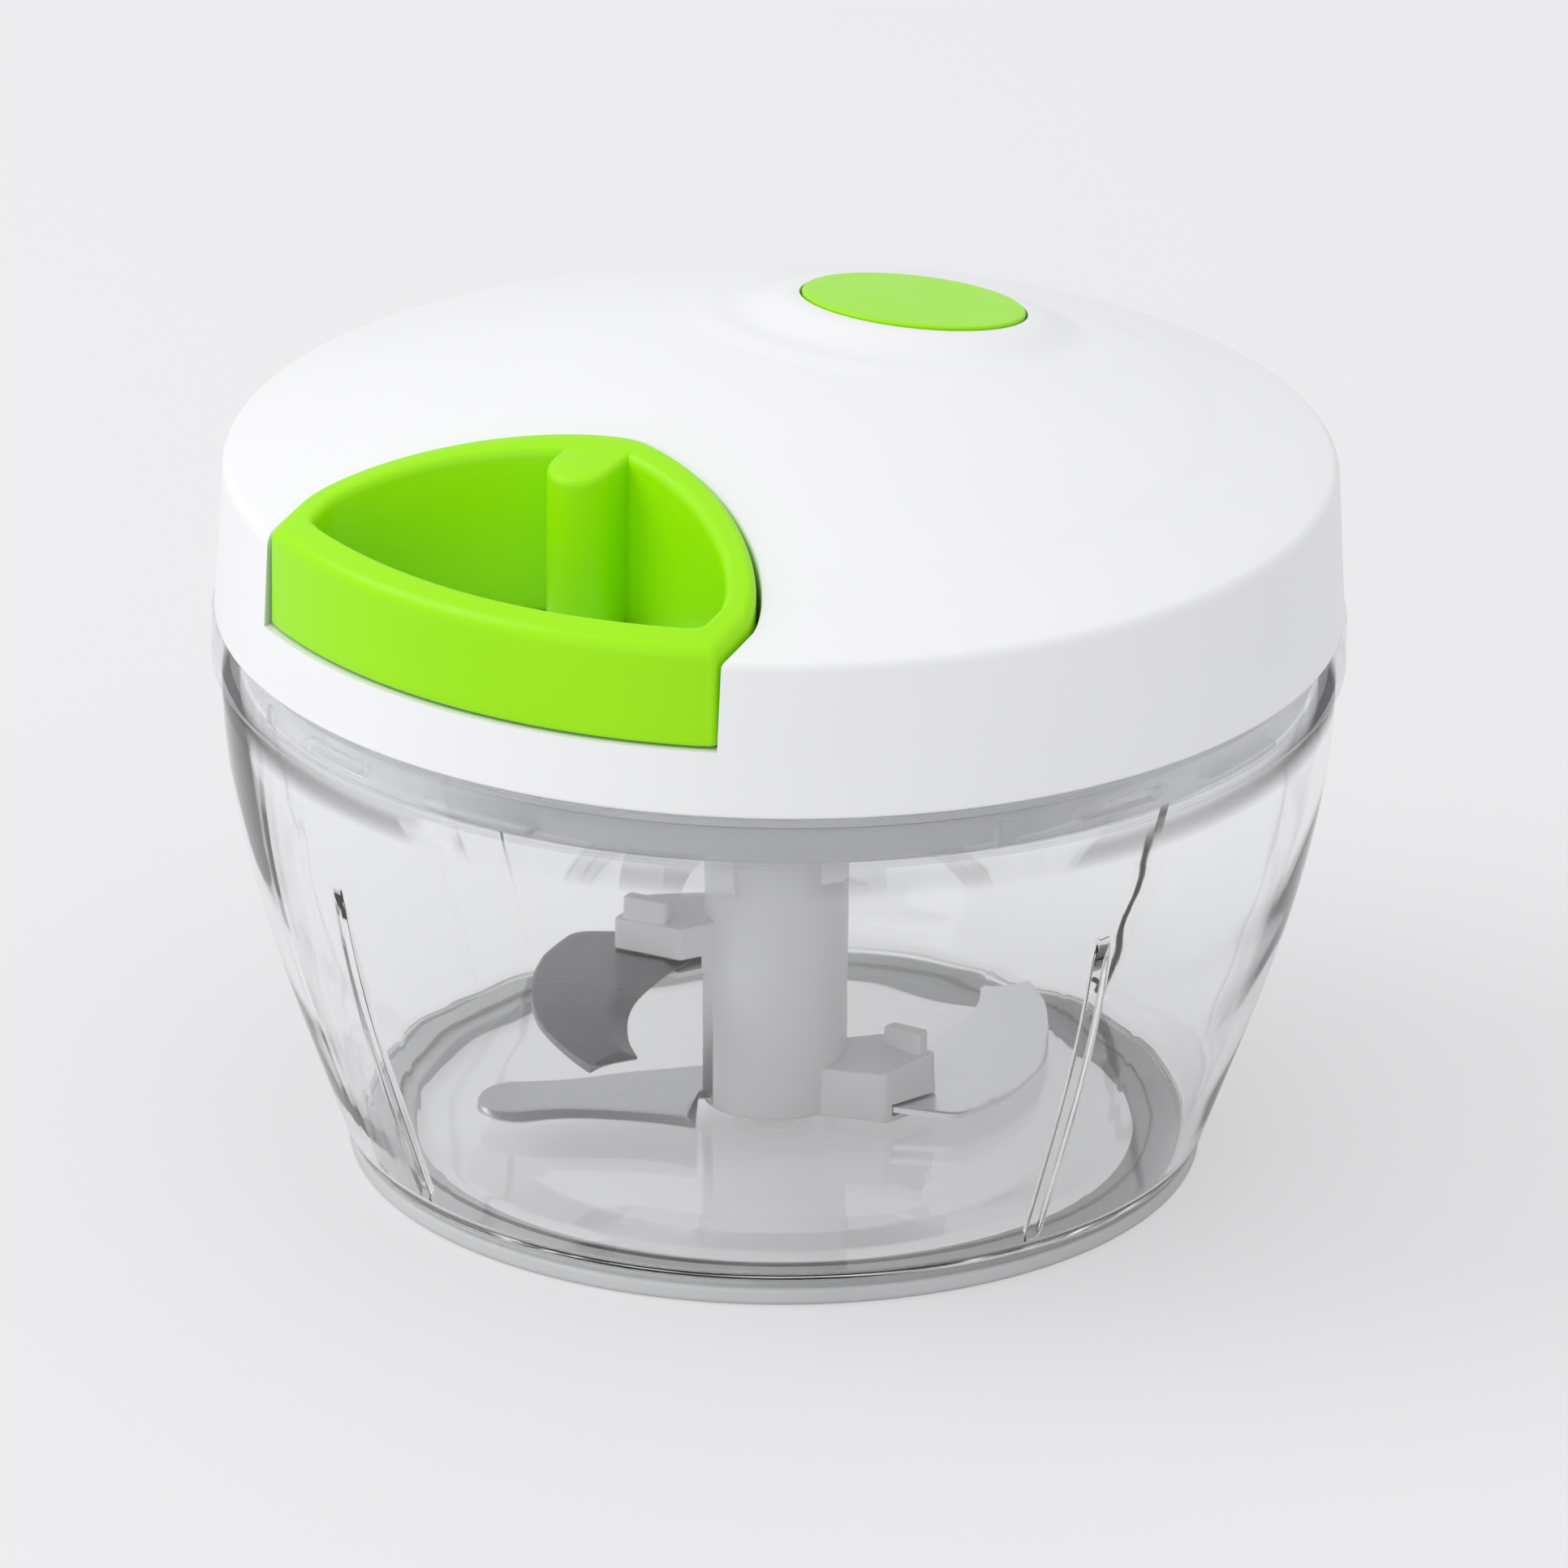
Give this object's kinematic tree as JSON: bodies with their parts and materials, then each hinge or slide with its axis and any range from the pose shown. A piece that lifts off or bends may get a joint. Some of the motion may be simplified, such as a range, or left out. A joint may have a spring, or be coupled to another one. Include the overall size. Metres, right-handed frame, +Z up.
{
  "type": "pull cord food chopper",
  "caption": "Hand-powered food chopper: clear bowl, twist-on domed lid with a loop pull handle on a sprung cord spool, and a blade unit that it spins.",
  "frame": {"origin": "on the bowl's axis, at the underside of the foot ring, where the object meets the table", "axes": "+Z up along the bowl's axis, which is also the axis of the lid, spool and blade unit; the handle pulls out horizontally towards -X -Y, 233 degrees from +X"},
  "size_m": [0.1306, 0.1306, 0.0981],
  "materials": {
    "clear_plastic": "clear polished plastic",
    "soft_ring": "matt translucent silicone",
    "white_plastic": "white semi-gloss moulding",
    "shaft_plastic": "white satin moulding",
    "green_plastic": "lime green semi-gloss moulding",
    "blade_steel": "stamped stainless steel",
    "steel": "plain steel",
    "spring_steel": "blued spring strip",
    "cord": "braided white cord"
  },
  "bodies": {
    "bowl": {"bowl": "clear_plastic", "bowl_pin": "steel", "anti_slip_ring": "soft_ring"},
    "blades": {"blade_shaft": "shaft_plastic", "upper_blade": "blade_steel", "lower_blade": "blade_steel", "short_blade": "blade_steel"},
    "seal": {"sealing_ring": "soft_ring"},
    "lid": {"lid_shell": "white_plastic", "lid_disc": "green_plastic", "lid_cover": "white_plastic", "cover_screw_1": "steel", "cover_screw_2": "steel", "cover_screw_3": "steel", "cover_screw_4": "steel", "spool_screw": "steel", "spool_washer": "steel", "mainspring": "spring_steel", "cord_guide": "steel", "cord_run": "cord"},
    "spool": {"spool": "shaft_plastic", "spring_cover": "shaft_plastic", "drive_dog": "shaft_plastic", "cord_winding": "cord"},
    "handle": {"pull_handle": "green_plastic", "cord_lead": "cord", "cord_knot": "cord"}
  },
  "joints": [
    {"name": "blade_spin", "type": "hinge", "parent": "bowl", "child": "blades", "pos_m": [0, 0, 0.0054], "axis": [0, 0, -1], "range_deg": [0, 1080]},
    {"name": "lid_lift", "type": "slide", "parent": "bowl", "child": "seal", "axis": [0, 0, 1], "range_m": [0, 0.16]},
    {"name": "lid_turn", "type": "hinge", "parent": "seal", "child": "lid", "pos_m": [0, 0, 0.0663], "axis": [0, 0, -1], "range_deg": [0, 25]},
    {"name": "spool_spin", "type": "hinge", "parent": "lid", "child": "spool", "pos_m": [0, 0, 0.0709], "axis": [0, 0, -1], "range_deg": [0, 1080]},
    {"name": "handle_pull", "type": "slide", "parent": "lid", "child": "handle", "axis": [-0.6018, -0.7986, 0], "range_m": [0, 0.35], "stiffness_N_per_m": 12, "springref_m": -0.25}
  ],
  "couplings": [
    {"joint": "spool_spin", "follows": "handle_pull", "rad_per_m": 52.356},
    {"joint": "blade_spin", "follows": "handle_pull", "rad_per_m": 52.356}
  ]
}
